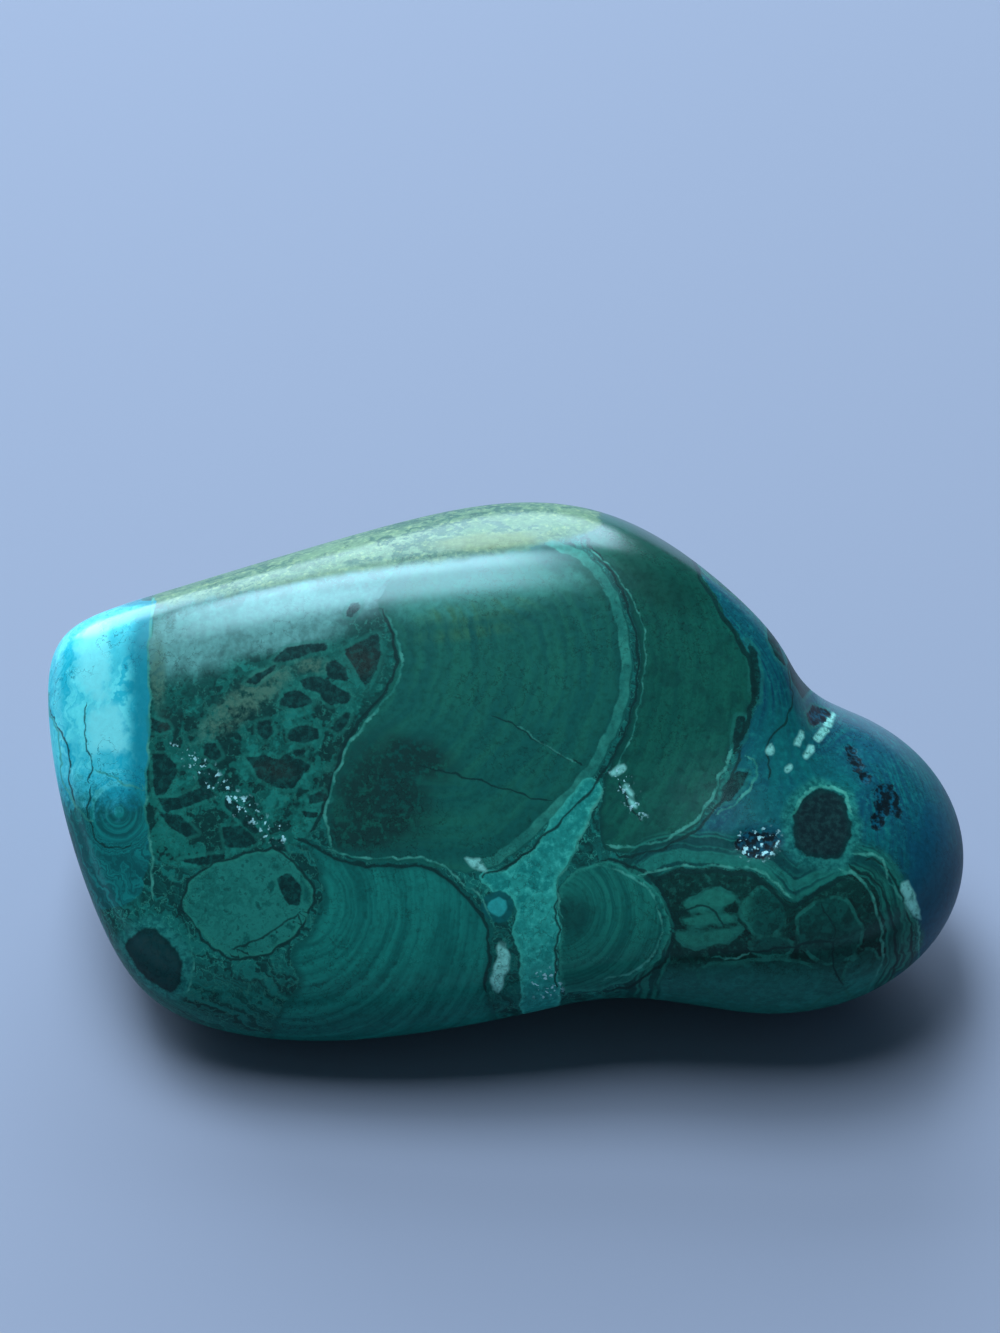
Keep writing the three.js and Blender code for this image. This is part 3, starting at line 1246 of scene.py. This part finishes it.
    def tone(self, zone: Zone, recipe: Recipe) -> Paint:
        """A zone's colour.

        Args:
            zone: The zone.
            recipe: How it is coloured.

        Returns:
            The colour, also outside the zone.
        """
        kit, row = self.kit, recipe.row
        dark, light = self.own(row, *recipe.dark), self.own(row, *recipe.light)
        colour = kit.mix(kit.ramp(self.grown, *recipe.turn), dark, light)
        colour = kit.mix(self.flecks * recipe.flecks, colour, self.own(row, *recipe.fleck))
        if recipe.seam:
            depth = kit.attribute(zone.value) + self.ragged * 0.8
            near = kit.ramp(depth, -recipe.seam_mm, 0.0) * 0.8
            colour = kit.mix(near, colour, self.own(row, *recipe.seam))
        extra = self.extras.get(zone)
        return extra(colour) if extra else colour

    def tail(self, colour: Paint) -> Paint:
        """The teal and the deep blue of the right end."""
        colour = self.lay(self.cloud(Cloud.TEAL) * 0.6, colour, 770, (10, 84, 86))
        return self.lay(self.cloud(Cloud.DEEP), colour, 800, (2, 63, 84))

    def band(self, colour: Paint) -> Paint:
        """Blotches, and painted shade on the shoulder of the second nodule.

        Args:
            colour: The zone's colour so far.

        Returns:
            The colour with them.
        """
        blotch = self.kit.ramp(self.middle * 0.7 + self.broad * 0.3, 0.52, 0.42)
        colour = self.lay(blotch * 0.45, colour, 690, (9, 52, 50))
        # Painted shade darkens the shoulder of the second nodule.
        return self.lay(self.cloud(Cloud.DIM) * 0.7, colour, 570, (7, 54, 46))

    def top(self, colour: Paint) -> Paint:
        """Cream patches of the worn top, and a painted highlight in pale grey along the ridge."""
        colour = self.lay(self.cloud(Cloud.CREAM), colour, 560, (96, 118, 82))
        # Painted highlight along the ridge.
        return self.lay(self.cloud(Cloud.GREY, 0.1, 0.6) * 0.9, colour, 600, (112, 156, 152))

    def nodule(self, colour: Paint) -> Paint:
        """Painted sheen under the ridge, golden streaks, a brown cloud and the pale rim of the big
        nodule.

        Args:
            colour: The zone's colour so far.

        Returns:
            The colour with them.
        """
        kit = self.kit
        depth = kit.attribute(Zone.NODULE.value)
        # Painted sheen just under the ridge.
        colour = self.lay(self.cloud(Cloud.MINT) * 0.6, colour, 600, (52, 134, 122))
        streaks = kit.ramp(self.grown, 0.36, 0.58)
        colour = self.lay(self.cloud(Cloud.GOLDEN) * streaks * 0.7, colour, 640, (48, 98, 70))
        dull = self.cloud(Cloud.BROWN, 0.12, 0.8) * kit.ramp(self.fine, 0.3, 0.55)
        colour = self.lay(dull * 0.95, colour, 780, (18, 41, 40))
        right = kit.ramp(kit.along(self.place, LENGTH_AXIS), -2.4, -0.6)
        colour = self.lay(kit.ramp(depth, -1.3, -0.6) * right * 0.5, colour, 700, (11, 66, 63))
        rim = kit.ramp(abs(depth + 0.3 + self.ragged * 0.1), 0.3, 0.2) * right
        pale = self.blend(kit.ramp(self.middle, 0.35, 0.65), 720, (28, 98, 90), (40, 116, 105))
        return kit.mix(rim, colour, pale)

    def breccia(self, colour: Paint) -> Paint:
        """Dark splinters in a pale net, the tinted patches of the broken ground, a painted highlight
        under the ridge and painted shade lower down.

        Args:
            colour: The zone's colour so far.

        Returns:
            The colour with them.
        """
        kit = self.kit
        patch = self.middle * 0.6 + self.broad * 0.4 + (self.fine - 0.5) * 0.12
        # Painted shade: the dark patches grow stronger towards the bottom, away from the gloss under the
        # ridge.
        below = kit.ramp(self.height + self.ragged * 2.0, self.height_of(680), self.height_of(730))
        dim = 0.45 + 0.45 * below
        colour = self.lay(kit.ramp(patch, 0.505, 0.475) * dim, colour, 740, (8, 42, 41))
        colour = self.lay(kit.ramp(patch, 0.54, 0.6) * 0.6, colour, 740, (26, 110, 102))
        net = kit.ramp(self.web, 0.03, 0.01) * kit.ramp(self.fine, 0.42, 0.6)
        colour = self.lay(net * 0.55, colour, 740, (38, 112, 100))
        streaks = 0.6 + 0.7 * self.grown
        # Painted highlight under the ridge, in pale grey streaks.
        colour = self.lay(self.cloud(Cloud.GREY) * streaks, colour, 640, (86, 142, 140))
        dusty = self.cloud(Cloud.TAN) * kit.ramp(self.fine + (self.middle - 0.5) * 0.5, 0.3, 0.62)
        colour = self.lay(dusty * 0.75, colour, 700, (66, 100, 86))
        return self.lay(self.cloud(Cloud.BROWN) * 0.6, colour, 740, (30, 52, 48))

    def cap(self, colour: Paint) -> Paint:
        """Painted reflections as bright patches, a deep border and the darker foot of the blue left end.

        Args:
            colour: The zone's colour so far.

        Returns:
            The colour with them.
        """
        kit = self.kit
        depth = kit.attribute(Zone.CAP.value) + self.ragged * 1.2
        marbled = kit.ramp(self.broad + (self.middle - 0.5) * 0.8, 0.4, 0.6)
        colour = self.lay(marbled * 0.5, colour, 760, (16, 146, 170))
        # Painted reflection: the bright patches stand in for light mirrored by the cap.
        glow = kit.ramp(kit.attribute(Group.GLOW.value) + self.ragged * 1.6, 0.2, -0.5)
        colour = self.lay(glow, colour, 760, (104, 236, 234))
        colour = self.lay(kit.ramp(depth, -1.5, -0.5) * 0.95, colour, 720, (2, 118, 136))
        low = kit.ramp(self.height + self.ragged * 5.0, self.height_of(768), self.height_of(815))
        bands = kit.ramp(self.grown, 0.4, 0.6)
        foot = self.blend(bands, 840, (8, 68, 71), (18, 102, 102))
        colour = kit.mix(low, colour, foot)
        cracks = kit.ramp(self.web, 0.014, 0.004) * kit.ramp(self.broad, 0.5, 0.6)
        return self.lay(cracks * 0.6, colour, 740, (6, 92, 112))

    def height_of(self, row: float) -> float:
        """How high a row of the photograph lies along the picture's upward axis, in millimetres."""
        seen = float(np.array(self.camera.seen_point_mm) @ self.camera.up)
        return seen + (self.camera.seen_pixel[1] - row) / self.camera.pixels_per_mm

    def disc(self, colour: Paint) -> Paint:
        """The dark heart of the half disc."""
        heart = self.kit.ramp(self.around((572, 915)) + self.ragged, 1.6, 0.4)
        return self.lay(heart * 0.8, colour, 915, (7, 50, 49))

    def corner(self, colour: Paint) -> Paint:
        """Rounded cells of the crowded lower right, and painted light along its bottom.

        Args:
            colour: The zone's colour so far.

        Returns:
            The colour with them.
        """
        kit = self.kit
        depth = kit.attribute(Group.LEAF.value) + self.ragged * 0.5
        cell = self.blend(kit.ramp(self.grown, 0.36, 0.62), 940, (7, 44, 42), (16, 64, 60))
        left = kit.ramp(kit.along(self.place, LENGTH_AXIS), 12.2, 11.2)
        above = kit.ramp(self.height, self.height_of(958), self.height_of(948))
        cell = self.lay(left * above * 0.85, cell, 930, (28, 94, 84))
        colour = kit.mix(kit.ramp(depth, 0.04, -0.1), colour, cell)
        # Painted light: the lowest part is lightened towards the bottom, where the lamps leave the low
        # front dim.
        low = kit.ramp(self.height + self.ragged, self.height_of(945), self.height_of(970))
        colour = self.lay(low * (0.2 + 0.7 * self.grown), colour, 970, (30, 98, 94))
        rim = kit.ramp(abs(depth), 0.13, 0.05)
        return self.lay(rim * kit.ramp(self.middle, 0.38, 0.55), colour, 940, (24, 82, 75))

    def ground(self) -> Paint:
        """What lies between the zones: thin bands that follow the left edge.

        Returns:
            The colour.
        """
        kit = self.kit
        colour = self.blend(kit.ramp(self.grown, 0.38, 0.62), 900, (7, 47, 46), (20, 88, 83))
        colour = self.lay(self.flecks * 0.6, colour, 900, (7, 46, 46))
        thread = kit.ramp(self.web, 0.02, 0.006)
        return self.lay(thread * 0.5, colour, 900, (44, 128, 116))

    def shells(self, below: Paint) -> Paint:
        """Thin shells round the crowded lower right.

        Args:
            below: The colour under them.

        Returns:
            The colour with them.
        """
        kit = self.kit
        depth = kit.attribute(Zone.CORNER.value)
        base = kit.scaled(self.place, 0.2)
        shift = kit.node("ShaderNodeCombineXYZ", {}, {"X": (depth + self.ragged * 0.35) * 3.0, "Y": 5.0})
        bands = kit.noise(kit.vector("ADD", base, shift), 1.0, 2.0)
        shell = self.blend(kit.ramp(bands, 0.42, 0.58), 900, (8, 52, 51), (25, 92, 83))
        free = (1 - self.inside[Zone.DISC]) * (1 - self.inside[Zone.VEIN])
        outside = kit.ramp(depth, 0.0, 0.1) * free
        return kit.mix(kit.ramp(depth + self.ragged, 2.2, 1.5) * outside * 0.85, below, shell)

    def eyes(self, below: Paint) -> Paint:
        """The two dark round nodules with pale rims, and the blue bead.

        Args:
            below: The colour under them.

        Returns:
            The colour with them.
        """
        kit = self.kit
        colour = below
        for zone, row, deep in ((Zone.EYE, 820, (17, 29, 34)), (Zone.OVAL, 960, (13, 46, 49))):
            depth = kit.attribute(zone.value) + self.ragged * 0.3
            halo = kit.ramp(depth, 0.8, 0.3)
            ring = self.blend(kit.ramp(self.fine, 0.35, 0.65), row, (16, 76, 76), (30, 100, 95))
            colour = kit.mix(halo * 0.9, colour, ring)
            inner = self.blend(kit.ramp(self.fine, 0.4, 0.65), row, deep, (21, 42, 44))
            inner = self.lay(kit.ramp(depth, -0.35, -0.05), inner, row, (9, 38, 40))
            colour = kit.mix(kit.ramp(depth, 0.08, -0.08), colour, inner)
        bead = kit.attribute(Group.BEAD.value) + self.ragged * 0.3
        colour = self.lay(kit.ramp(bead, 0.36, 0.26), colour, 905, (10, 70, 72))
        return self.lay(kit.ramp(bead, 0.06, -0.06), colour, 905, (32, 124, 126))

    def details(self, below: Paint) -> Paint:
        """Splinters, lines, chips, crystal dust, and pits with painted shade and light.

        Args:
            below: The colour under them.

        Returns:
            The colour with them.
        """
        kit = self.kit
        depth = kit.attribute(Group.SHARD.value) + self.ragged * 0.32
        shard = self.blend(self.cloud(Cloud.BROWN), 740, (12, 42, 42), (34, 46, 44))
        shard = self.lay(kit.ramp(self.fine, 0.42, 0.66) * 0.6, shard, 740, (16, 66, 62))
        colour = self.lay(kit.ramp(abs(depth - 0.1), 0.16, 0.02) * 0.4, below, 740, (30, 104, 94))
        colour = kit.mix(kit.ramp(depth, 0.05, -0.05), colour, shard)
        colour = self.lay(self.line(Line.DARK) * 0.9, colour, 800, (5, 38, 38))
        thread = self.blend(kit.ramp(self.middle, 0.4, 0.6), 820, (32, 104, 95), (62, 138, 127))
        colour = kit.mix(self.line(Line.PALE) * 0.7, colour, thread)
        chip = self.blend(kit.ramp(self.fine, 0.28, 0.5), 900, (54, 118, 112), (98, 164, 160))
        colour = kit.mix(self.edge(Group.CHIP, 0.1, 0.3), colour, chip)
        # Pits: the near-black is painted shade in their hollows and the lighter blue is painted light on
        # their facets.
        pit = self.blend(kit.ramp(self.fine, 0.45, 0.62), 800, (3, 22, 30), (8, 60, 78))
        colour = kit.mix(self.edge(Group.PIT, 0.08, 1.2), colour, pit)
        crystals = kit.ramp(kit.noise(self.place, 4.2, 2.0), 0.58, 0.66)
        return self.lay(crystals * self.edge(Group.DRUSY, 0.25, 1.0), colour, 800, (140, 216, 208))

    def reverse(self) -> Paint:
        """The ball nodules of the sides that the photograph doesn't show.

        Returns:
            The colour.
        """
        kit, row = self.kit, 800
        depth = kit.attribute(Reverse.DEPTH.value) + self.ragged * 0.5
        tone = kit.attribute(Reverse.TONE.value)
        green = self.blend(tone, row, (17, 80, 74), (26, 98, 84))
        dark = self.blend(tone, row, (10, 58, 55), (14, 72, 66))
        colour = kit.mix(kit.ramp(self.grown, 0.36, 0.64), dark, green)
        colour = self.lay(kit.ramp(abs(depth + 0.4), 0.3, 0.2), colour, row, (38, 116, 105))
        seam = kit.attribute(Reverse.SEAM.value) + self.ragged * 0.5
        colour = self.lay(kit.ramp(seam, 0.4, 0.15), colour, row, (7, 44, 44))
        ground = self.blend(kit.ramp(self.middle, 0.36, 0.62), row, (10, 80, 86), (22, 108, 102))
        ground = self.lay(self.flecks * 0.7, ground, row, (8, 50, 52))
        ground = self.lay(kit.ramp(depth, 0.35, 0.1), ground, row, (7, 44, 44))
        return kit.mix(kit.ramp(depth, 0.05, -0.05), ground, colour)

    def colour(self) -> Paint:
        """All markings together.

        Returns:
            The colour.
        """
        kit = self.kit
        painted, hidden = self.ground(), self.reverse()
        for zone, recipe in RECIPES.items():
            tone = self.tone(zone, recipe)
            painted = kit.mix(self.inside[zone], painted, tone)
            if zone in WRAPPED:
                # Painted shade: on the unseen sides the cap and the tail take a darker copy of their
                # colours, to offset the brighter light that falls there.
                shaded_copy = self.lay(0.6, tone, 760, (8, 96, 112))
                hidden = kit.mix(self.inside[zone], hidden, shaded_copy)
        painted = self.details(self.eyes(self.shells(painted)))
        both = kit.mix(self.away, painted, hidden)
        plain = 1 - 0.75 * self.inside[Zone.CAP]
        hair = kit.ramp(self.web, 0.018, 0.004) * kit.ramp(self.broad, 0.4, 0.6)
        grain = (1 + (self.fine - 0.5) * 1.2 * plain) * (1 - hair * plain * 0.4)
        return kit.scaled(both, grain)

    def finish(self) -> None:
        """Adds the shader: bright where the stone is polished and dull elsewhere."""
        kit, look = self.kit, self.look
        low = kit.ramp(kit.along(self.place, UP_AXIS), *look.dull_below_mm)
        normal = kit.node("ShaderNodeTexCoord", {}, {}, "Normal")
        under = kit.ramp(kit.along(normal, UP_AXIS), *look.dull_under)
        pit = self.edge(Group.PIT)
        rough = look.roughness + (self.fine - 0.5) * 0.1 + pit * 0.35 + low * 0.28
        crust = self.inside[Zone.TOP] * (0.2 + 0.6 * self.middle)
        end = kit.ramp(kit.along(normal, LENGTH_AXIS), *look.dull_end) * 0.9
        bright_part = (1 - low) * (1 - under) * (1 - crust) * (1 - end) * (1 - pit * 0.9)
        colour = self.colour()
        polish = {"Roughness": rough, "IOR": look.refraction, "Specular Tint": look.gleam}
        bright = kit.node("ShaderNodeBsdfPrincipled", {}, {"Base Color": colour} | polish)
        worn = {"Roughness": look.dull_roughness, "Specular IOR Level": look.dull_gloss}
        dull = kit.node("ShaderNodeBsdfPrincipled", {}, {"Base Color": colour} | worn)
        shader = kit.node("ShaderNodeMixShader", {}, {0: 1 - bright_part, 1: bright, 2: dull})
        kit.node("ShaderNodeOutputMaterial", {}, {"Surface": shader})


@dataclass(frozen=True)
class Floor:
    """The plain pale floor.

    Attributes:
        size_m: Its side.
        pale: Its colour, in linear light.
    """

    size_m: float = 3.0
    pale: Colour = (0.30, 0.315, 0.395)

    def build(self) -> bpy.types.Object:
        """Adds the floor under the stone.

        Returns:
            The floor.
        """
        bpy.ops.object.select_all(action="DESELECT")
        bpy.ops.mesh.primitive_plane_add(size=self.size_m)
        floor = bpy.context.object
        floor.name = "floor"
        material = bpy.data.materials.new("pale_floor")
        material.use_nodes = True
        kit = NodeKit(material.node_tree)
        inputs = {"Base Color": self.pale, "Roughness": 0.9, "Specular IOR Level": 0.1}
        shader = kit.node("ShaderNodeBsdfPrincipled", {}, inputs)
        kit.node("ShaderNodeOutputMaterial", {}, {"Surface": shader})
        floor.data.materials.append(material)
        return floor


@dataclass(frozen=True)
class Panel:
    """One soft light that faces the stone.

    Attributes:
        name: Its name.
        over_deg: Its place from the viewer's side (0) over the top (90) to behind the stone (180).
        side_deg: Its place to the right of the stone's middle.
        distance_m: Its distance.
        width_deg: Its width as seen from the stone.
        height_deg: Its height as seen from the stone.
        radiance: How bright its face is.
        tint: Its colour.
    """

    name: str
    over_deg: float
    side_deg: float
    distance_m: float
    width_deg: float
    height_deg: float
    radiance: float
    tint: Colour = (0.66, 0.84, 1.0)

    def build(self) -> None:
        """Adds the light."""
        over, side = math.radians(self.over_deg), math.radians(self.side_deg)
        circle = Vector((0.0, -math.cos(over), math.sin(over)))
        right = Vector(LENGTH_AXIS)
        way = math.sin(side) * right + math.cos(side) * circle
        across = math.cos(side) * right - math.sin(side) * circle
        data = bpy.data.lights.new(self.name, "AREA")
        data.shape = "RECTANGLE"
        data.size = 2 * self.distance_m * math.tan(math.radians(self.width_deg / 2))
        data.size_y = 2 * self.distance_m * math.tan(math.radians(self.height_deg / 2))
        data.energy = self.radiance * math.pi * data.size * data.size_y
        data.color = self.tint
        lamp = bpy.data.objects.new(self.name, data)
        bpy.context.scene.collection.objects.link(lamp)
        turn = Matrix((across, way.cross(across), way)).transposed().to_4x4()
        lamp.matrix_world = Matrix.Translation(way * self.distance_m) @ turn


@dataclass(frozen=True)
class Studio:
    """Soft daylight from above and behind, and a dim room.

    Attributes:
        panels: The lights.
        room: The room's own light.
    """

    panels: Sequence[Panel] = (
        Panel("skylight", 103.0, -13.0, 0.6, 27.0, 46.0, 7.9),
        Panel("skylight_bar", 113.0, -13.0, 0.59, 26.0, 17.0, 5.0),
        Panel("window", 153.0, -16.0, 0.7, 54.0, 38.0, 6.5),
    )
    room: Colour = (0.06, 0.1, 0.13)

    def build(self) -> None:
        """Adds the lights and the room."""
        scene = bpy.context.scene
        scene.view_settings.view_transform = "Standard"
        for panel in self.panels:
            panel.build()
        world = bpy.data.worlds.new("room")
        world.use_nodes = True
        kit = NodeKit(world.node_tree)
        light = kit.node("ShaderNodeBackground", {}, {"Color": self.room})
        kit.node("ShaderNodeOutputWorld", {}, {"Surface": light})
        scene.world = world


def main() -> None:
    """Builds the camera, the stone, the floor and the light."""
    logging.basicConfig(level=logging.INFO, format="%(message)s")
    camera = PhotoCamera()
    camera.build()
    stone = Stone()
    piece = stone.build()
    stone.mark(camera)
    stone.sink_pits()
    PolishedStone().dress(stone, camera)
    stone.declare()
    LOG.info("piece %s: %d faces", piece.name, len(piece.data.polygons))
    Floor().build()
    Studio().build()


if __name__ == "__main__":
    main()
